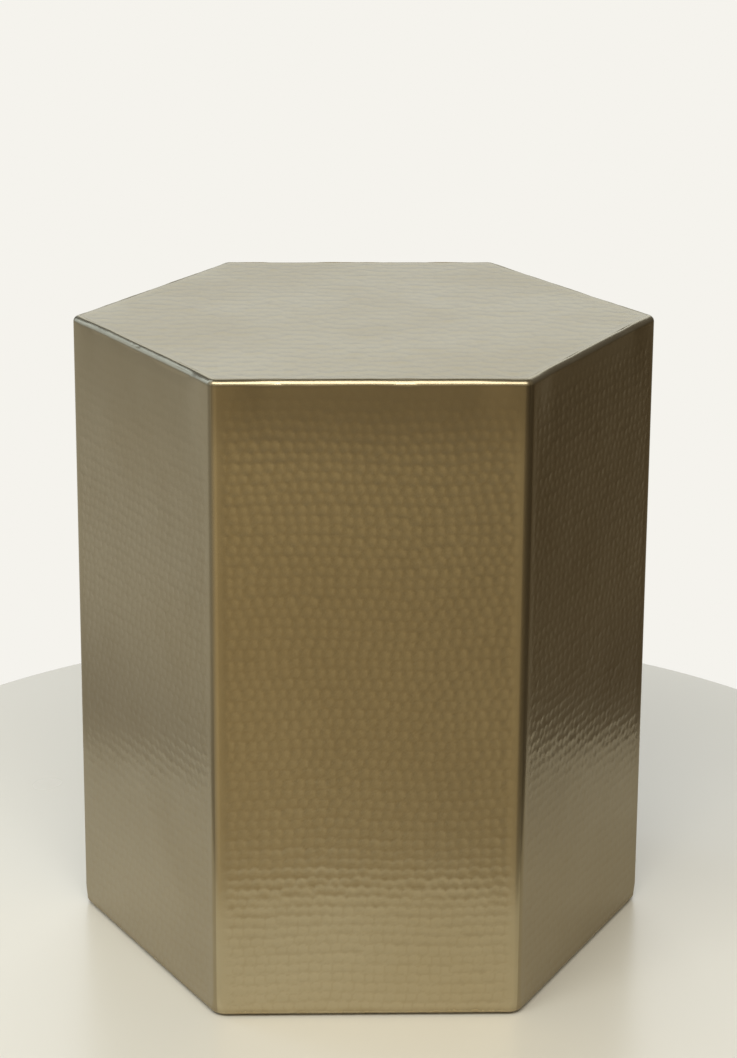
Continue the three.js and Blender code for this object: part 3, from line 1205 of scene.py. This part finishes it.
@dataclass
class Pins:
    """Round-headed brass pins: two rows beside the seam, and some under the turned-in foot."""

    sizes: DrumSizes
    head: float = 1.5 * MM
    rise: float = 0.75 * MM
    bed: float = 0.2 * MM
    bed_share: float = 0.9
    dome_steps: int = 6
    seam_offset: float = 6.5 * MM
    seam_ends: float = 16 * MM
    seam_count: int = 13
    foot_inset: float = 9 * MM
    foot_rise: float = 0.5 * MM
    foot_places: tuple[float, ...] = (-0.072, -0.024, 0.024, 0.072)
    seam_stray: tuple[float, float] = (0.35 * MM, 0.8 * MM)
    foot_stray: float = 1 * MM
    sides: int = 20
    seed: int = 91

    def head_points(self, rise: float) -> list[tuple[float, float]]:
        """The section of a pin's head.

        Args:
            rise: How far it stands off the sheet.

        Returns:
            Radius and height of each ring.
        """
        dome = (self.head ** 2 + rise ** 2) / (2 * rise)
        half = math.degrees(math.asin(min(1.0, self.head / dome)))
        cap = arc(0, rise - dome, dome, 90 - half, 90, self.dome_steps)
        return [(0, -self.bed), (self.head * self.bed_share, -self.bed), *cap[:-1], (0, rise)]

    def join(self, name: str, rise: float, places: Sequence[Matrix]) -> bpy.types.Mesh:
        """Many pins as one mesh.

        Args:
            name: The mesh's name.
            rise: How far each head stands off the sheet.
            places: Where each pin goes, its head towards the matrix's +Z.

        Returns:
            The mesh.
        """
        one = lathe_surface(self.head_points(rise), self.sides)
        points = np.vstack(one.points)
        surface = Surface()
        for place in places:
            matrix = np.array(place)
            base = surface.add_points(points @ matrix[:3, :3].T + matrix[:3, 3])
            for corners, counts, normals in zip(one.corners, one.counts, one.normals):
                wide = counts[0]
                surface.add_faces(corners.reshape(-1, wide) + base,
                                  normals @ matrix[:3, :3].T)
        return surface.mesh(name)

    def build(self, finish: bpy.types.Material) -> None:
        """Makes the pins.

        Args:
            finish: The pins' brass.
        """
        size = self.sizes
        outwards = Matrix.Rotation(-math.pi / 2, 4, "X")
        heights = np.linspace(size.foot + self.seam_ends, size.height - self.seam_ends,
                              self.seam_count)
        rng = np.random.default_rng(self.seed)
        for name, sign in (("seam_pins_right", 1), ("seam_pins_left", -1)):
            places = []
            for height in heights:
                x = sign * self.seam_offset + rng.normal(0, self.seam_stray[0])
                spot = Vector((x, size.flat, height + rng.normal(0, self.seam_stray[1])))
                places.append(Matrix.Translation(spot) @ outwards)
            fit(show(name, self.join(name, self.rise, places), finish), Slot.BRASS)
        downwards = Matrix.Rotation(math.pi, 4, "X")
        for side in Side:
            places = []
            for x in self.foot_places:
                spot = Vector((x + rng.normal(0, self.foot_stray), self.foot_inset - size.flat,
                               size.foot))
                turn = Matrix.Rotation(side.turn, 4, "Z")
                places.append(turn @ Matrix.Translation(spot) @ downwards)
            name = f"foot_pins_{side.label}"
            fit(show(name, self.join(name, self.foot_rise, places), finish), Slot.BRASS)


# --- fixings and carcass


@dataclass
class Screws:
    """Slotted countersunk screws, in place of the plain ones of the frame."""

    kind: str
    upside_down: bool
    sides: int = 40
    slot_width: float = 0.9 * MM
    slot_depth: float = 1.0 * MM
    edge: float = 0.25 * MM
    core: float = 0.78
    turns: float = 1.55 * MM
    shank: float = 0.48
    plain: float = 0.25
    waist: float = 0.94
    tip: tuple[float, float] = (0.25 * MM, 0.3 * MM)
    point: float = 3.0
    taper: float = 3.2
    crest: float = 0.45
    brim: float = 0.4
    smooth_below: float = math.radians(35)

    @property
    def seed(self) -> int:
        """Seeds how far the slots are turned; the names of the kinds differ in length."""
        return len(self.kind)

    def shape(self, head: float, length: float) -> bpy.types.Mesh:
        """One screw standing on its head, the flat of the head at 0.

        Args:
            head: The head's radius.
            length: From the head to the point.

        Returns:
            The mesh.
        """
        shank = head * self.shank
        cone = head - shank
        profile = [(0, -length)]
        thread_top = -cone - self.plain * length
        count = int((length - self.plain * length - cone - self.point * shank) / self.turns)
        profile.append((self.tip[0], -length + self.tip[1]))
        for turn in range(count + 2):
            low = thread_top - (count + 1 - turn) * self.turns
            taper = min(1.0, (low + length) / (self.taper * shank))
            profile.append((shank * self.core * taper, low))
            profile.append((shank * taper, low + self.crest * self.turns))
        profile += [(shank * self.waist, thread_top + self.turns), (shank * self.waist, -cone),
                    (head, -self.edge), (head - self.brim * self.edge, 0), (0, 0)]
        return self.slotted(lathe_surface(profile, self.sides).mesh(f"{self.kind}_blank"), head)

    def slotted(self, mesh: bpy.types.Mesh, head: float) -> bpy.types.Mesh:
        """Cuts the driver slot.

        Args:
            mesh: The screw.
            head: Its head's radius.

        Returns:
            The cut mesh.
        """
        blank = bpy.data.objects.new("screw_blank", mesh)
        box = bpy.data.meshes.new("slot_box")
        x, y, z = 1.5 * head, self.slot_width / 2, self.slot_depth
        corners = [(i * x, j * y, k * z) for k in (-1, 1) for j in (-1, 1) for i in (-1, 1)]
        walls = [(0, 2, 3, 1), (4, 5, 7, 6), (0, 1, 5, 4), (2, 6, 7, 3), (0, 4, 6, 2), (1, 3, 7, 5)]
        box.from_pydata(corners, [], walls)
        cutter = bpy.data.objects.new("slot_cutter", box)
        for each in (blank, cutter):
            bpy.context.scene.collection.objects.link(each)
        modifier = blank.modifiers.new("slot", "BOOLEAN")
        modifier.object = cutter
        modifier.solver = "EXACT"
        bpy.context.view_layer.update()
        graph = bpy.context.evaluated_depsgraph_get()
        cut = bpy.data.meshes.new_from_object(blank.evaluated_get(graph))
        cut.name = self.kind
        cut.set_sharp_from_angle(angle=self.smooth_below)
        for each in (blank, cutter):
            bpy.data.objects.remove(each)
        return cut

    def build(self, finish: bpy.types.Material) -> None:
        """Puts a screw in the place of each node of its kind.

        Args:
            finish: The steel.
        """
        low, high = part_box(f"{self.kind}_{CORNERS[0]}")
        mesh = self.shape((high.y - low.y) / 2, high.z - low.z)
        rng = np.random.default_rng(self.seed)
        for corner in CORNERS:
            node = f"{self.kind}_{corner}"
            low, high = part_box(node)
            spot = Vector(((low.x + high.x) / 2, (low.y + high.y) / 2,
                           low.z if self.upside_down else high.z))
            turn = Matrix.Rotation(math.pi if self.upside_down else 0, 4, "X")
            spin = Matrix.Rotation(rng.uniform(0, math.pi), 4, "Z")
            matrix = Matrix.Translation(spot) @ turn @ spin
            fit(show(f"slotted_{node}", mesh, finish, matrix), Slot.STEEL, node)


@dataclass
class Glides:
    """Moulded glides with eased edges and a sunk screw seat."""

    sides: int = 64
    ease: float = 1.1 * MM
    seat: float = 4.5 * MM
    seat_depth: float = 3 * MM
    hole: float = 2.0 * MM
    seat_ease: float = 0.3 * MM
    mouth_ease: float = 0.35 * MM
    top_ease: float = 0.6 * MM

    def build(self, finish: bpy.types.Material) -> None:
        """Puts a glide in the place of each glide node.

        Args:
            finish: The nylon.
        """
        low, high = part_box(f"glide_{CORNERS[0]}")
        radius, height = (high.x - low.x) / 2, high.z
        eased = [(0, self.seat_depth), (self.hole, self.seat_depth),
                 (self.seat - self.seat_ease, self.seat_depth),
                 (self.seat, self.seat_depth - self.seat_ease), (self.seat, self.mouth_ease),
                 (self.seat + self.mouth_ease, 0)]
        eased += arc(radius - self.ease, self.ease, self.ease, -90, 0, 6)
        eased += arc(radius - self.top_ease, height - self.top_ease, self.top_ease, 0, 90, 4)
        eased += [(0, height)]
        mesh = lathe_surface(eased, self.sides).mesh("moulded_glide")
        for corner in CORNERS:
            node = f"glide_{corner}"
            low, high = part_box(node)
            matrix = Matrix.Translation(((low.x + high.x) / 2, (low.y + high.y) / 2, 0))
            fit(show(f"moulded_{node}", mesh, finish, matrix), Slot.NYLON, node)


@dataclass
class Carcass:
    """The boards and posts of the frame, which keep their shapes and get their finishes."""

    board: bpy.types.Material
    timber: bpy.types.Material

    def dress(self) -> None:
        """Gives each board and post its finish."""
        for name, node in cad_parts.items():
            if node.hide_render:
                continue
            finish = self.timber if name.startswith("corner_post") else self.board
            for slot in node.material_slots:
                slot.material = finish
            if not node.material_slots:
                node.data.materials.append(finish)
            LOG.info("%s: dressed in %s", name, finish.name)


# --- the studio


@dataclass
class Studio:
    """A round pale platform, a white backdrop, soft light, and the camera."""

    disc_radius: float = 0.482
    disc_centre: tuple[float, float] = (0.008, 0.095)
    disc_depth: float = 0.040
    disc_edge: float = 3 * MM
    disc_sides: int = 256
    camera_place: tuple[float, float, float] = (-0.0458, -1.8175, 0.8933)
    camera_yaw: float = math.radians(1.539)
    camera_pitch: float = math.radians(14.46)
    camera_roll: float = math.radians(0.346)
    lens: float = 88.68
    sensor: float = 36.0
    shift: float = -0.1607
    clip: tuple[float, float] = (0.05, 50.0)
    panel_place: tuple[float, float, float] = (-0.40, -1.62, 2.25)
    panel_aim: tuple[float, float, float] = (0, 0, 0.25)
    panel_size: tuple[float, float] = (3.0, 1.15)
    panel_power: float = 52.0
    panel_colour: Colour = (1.0, 0.99, 0.95)
    backdrop: Colour = (0.913, 0.896, 0.847)
    overhead: Colour = (0.07, 0.06, 0.045)
    bounce: Colour = (0.24, 0.225, 0.185)
    level: float = 0.93
    low_ring: tuple[tuple[float, Colour], ...] = (
        (0.00, (0.30, 0.28, 0.25)), (0.05, (0.27, 0.25, 0.21)), (0.12, (0.46, 0.38, 0.26)),
        (0.18, (0.66, 0.53, 0.32)), (0.235, (0.585, 0.460, 0.258)), (0.250, (0.460, 0.352, 0.188)),
        (0.265, (0.370, 0.285, 0.152)), (0.29, (0.195, 0.148, 0.080)),
        (0.32, (0.10, 0.072, 0.036)), (0.42, (0.05, 0.036, 0.020)),
        (0.565, (0.050, 0.034, 0.018)), (0.60, (0.118, 0.084, 0.042)),
        (0.62, (0.21, 0.175, 0.125)), (0.65, (0.36, 0.33, 0.28)), (0.71, (0.90, 0.92, 0.93)),
        (0.80, (0.90, 0.92, 0.93)), (0.86, (0.64, 0.615, 0.56)), (0.93, (0.50, 0.48, 0.43)),
        (1.00, (0.30, 0.28, 0.25)))
    high_ring: tuple[tuple[float, Colour], ...] = (
        (0.00, (0.35, 0.37, 0.39)), (0.12, (0.44, 0.40, 0.32)), (0.25, (0.34, 0.27, 0.17)),
        (0.42, (0.14, 0.115, 0.08)), (0.60, (0.12, 0.11, 0.10)), (0.655, (0.16, 0.15, 0.14)),
        (0.69, (1.00, 1.06, 1.125)), (0.795, (1.00, 1.06, 1.125)), (0.820, (0.06, 0.055, 0.05)),
        (0.880, (0.06, 0.06, 0.06)), (0.900, (1.12, 1.34, 1.70)), (0.920, (1.12, 1.34, 1.70)),
        (0.95, (0.35, 0.37, 0.39)))
    floor_shade: tuple[tuple[float, Colour], ...] = (
        (0.10, (0.9, 0.9, 0.9)), (0.20, (1.0, 1.0, 1.0)), (0.35, (1.0, 1.0, 1.0)),
        (0.60, (0.5, 0.5, 0.5)), (0.86, (0.72, 0.72, 0.72)))

    floor_bands: tuple[tuple[float, float, float], ...] = (
        (0.17, 0.31, 0.60), (0.36, 0.42, -0.18), (0.46, 0.62, 0.45))
    floor_dip: float = 0.56
    wall_foot: float = 0.72
    wall_rise: float = 0.42
    wall_span: tuple[float, float] = (0.10, 0.34)
    horizon: tuple[float, float] = (-0.05, 0.05)
    zenith: tuple[float, float] = (0.82, 0.93)

    def platform(self, finish: bpy.types.Material) -> None:
        """Makes the platform.

        Args:
            finish: Its plaster.
        """
        edge = self.disc_edge
        profile = [(0, -self.disc_depth), (self.disc_radius - edge, -self.disc_depth)]
        profile += arc(self.disc_radius - edge, edge - self.disc_depth, edge, -90, 0, 6)[1:]
        profile += arc(self.disc_radius - edge, -edge, edge, 0, 90, 6)
        profile += [(0.3, 0), (0.1, 0), (0, 0)]
        mesh = lathe_surface(profile, self.disc_sides).mesh("platform")
        place = Matrix.Translation((*self.disc_centre, 0))
        show("platform", mesh, finish, place)

    def camera(self) -> None:
        """Makes the camera."""
        yaw, pitch, roll = self.camera_yaw, self.camera_pitch, self.camera_roll
        ahead = Vector((math.sin(yaw) * math.cos(pitch), math.cos(yaw) * math.cos(pitch),
                        -math.sin(pitch)))
        right = Vector((math.cos(yaw), -math.sin(yaw), 0))
        up = right.cross(ahead)
        level = math.cos(roll) * right + math.sin(roll) * up
        upright = math.cos(roll) * up - math.sin(roll) * right
        matrix = Matrix((level, upright, -ahead)).transposed().to_4x4()
        matrix.translation = Vector(self.camera_place)
        data = bpy.data.cameras.new("studio_camera")
        data.lens, data.sensor_width, data.shift_y = self.lens, self.sensor, self.shift
        data.clip_start, data.clip_end = self.clip
        camera = bpy.data.objects.new("studio_camera", data)
        bpy.context.scene.collection.objects.link(camera)
        camera.matrix_world = matrix
        bpy.context.scene.camera = camera

    def light(self) -> None:
        """Hangs the soft panel in front of the table, above it."""
        data = bpy.data.lights.new("front_panel", "AREA")
        data.shape = "RECTANGLE"
        data.size, data.size_y = self.panel_size
        data.energy, data.color = self.panel_power, self.panel_colour
        light = bpy.data.objects.new("front_panel", data)
        bpy.context.scene.collection.objects.link(light)
        light.location = Vector(self.panel_place)
        way = Vector(self.panel_aim) - Vector(self.panel_place)
        light.rotation_euler = way.to_track_quat("-Z", "Y").to_euler()
        light.visible_camera = False

    def room(self) -> None:
        """Fills the world: a white backdrop to the eye, and a studio's room in reflections."""
        world = bpy.data.worlds.new("studio_room")
        bpy.context.scene.world = world
        world.use_nodes = True
        tree = ShaderTree(world.node_tree)
        way = tree.node("ShaderNodeTexCoord", output="Generated")
        x, y, z = (tree.node("ShaderNodeSeparateXYZ", {}, {0: way}, output=k) for k in range(3))
        bearing = tree.node("ShaderNodeMath", {"operation": "ARCTAN2"}, {0: y, 1: x})
        share = bearing / (2 * math.pi) + 0.5
        low, high, depth = (tree.node("ShaderNodeValToRGB", {"stops": stops}, {0: share})
                            for stops in (self.low_ring, self.high_ring, self.floor_shade))
        down = 0 - z
        bands = sum(down.ramp(start, end) * size for start, end, size in self.floor_bands)
        shade = (bands - self.floor_dip) * depth + 1
        low = tree.scaled(low, shade * self.level)
        rise = self.wall_foot + z.ramp(*self.wall_span) * self.wall_rise
        high = tree.scaled(high, rise * self.level)
        ring = tree.mix(z.ramp(*self.horizon), low, high)
        ceiling = tree.mix(z.ramp(*self.zenith), ring, self.overhead)
        spread = tree.node("ShaderNodeLightPath", output="Is Diffuse Ray")
        bounce = tree.scaled(self.bounce, spread)
        filled = tree.node("ShaderNodeVectorMath", {"operation": "ADD"}, {0: ceiling, 1: bounce})
        ray = tree.node("ShaderNodeLightPath", output="Is Camera Ray")
        colour = tree.mix(ray, filled, self.backdrop)
        glow = tree.node("ShaderNodeBackground", {}, {"Color": colour, "Strength": 1.0})
        tree.node("ShaderNodeOutputWorld", {}, {"Surface": glow})

    def build(self, plaster: bpy.types.Material) -> None:
        """Sets the studio up.

        Args:
            plaster: The platform's finish.
        """
        self.camera()
        self.platform(plaster)
        self.light()
        self.room()
        bpy.context.scene.view_settings.view_transform = "Standard"


def main() -> None:
    """Builds the studio and dresses the table, piece by piece."""
    logging.basicConfig(level=logging.INFO, format="%(message)s")
    Studio().build(StagePlaster().material())
    sizes = DrumSizes.read()
    brass = HammeredBrass().material()
    pin_brass = PinBrass().material()
    SideSheet(sizes).build(brass)
    TopSheet(sizes).build(brass)
    Pins(sizes).build(pin_brass)
    steel = PlatedSteel().material()
    for kind, upside_down in (("top_screw", False), ("base_screw", True), ("glide_screw", True)):
        Screws(kind, upside_down).build(steel)
    Glides().build(MouldedNylon().material())
    Carcass(Fibreboard().material(), SawnTimber().material()).dress()


if __name__ == "__main__":
    main()
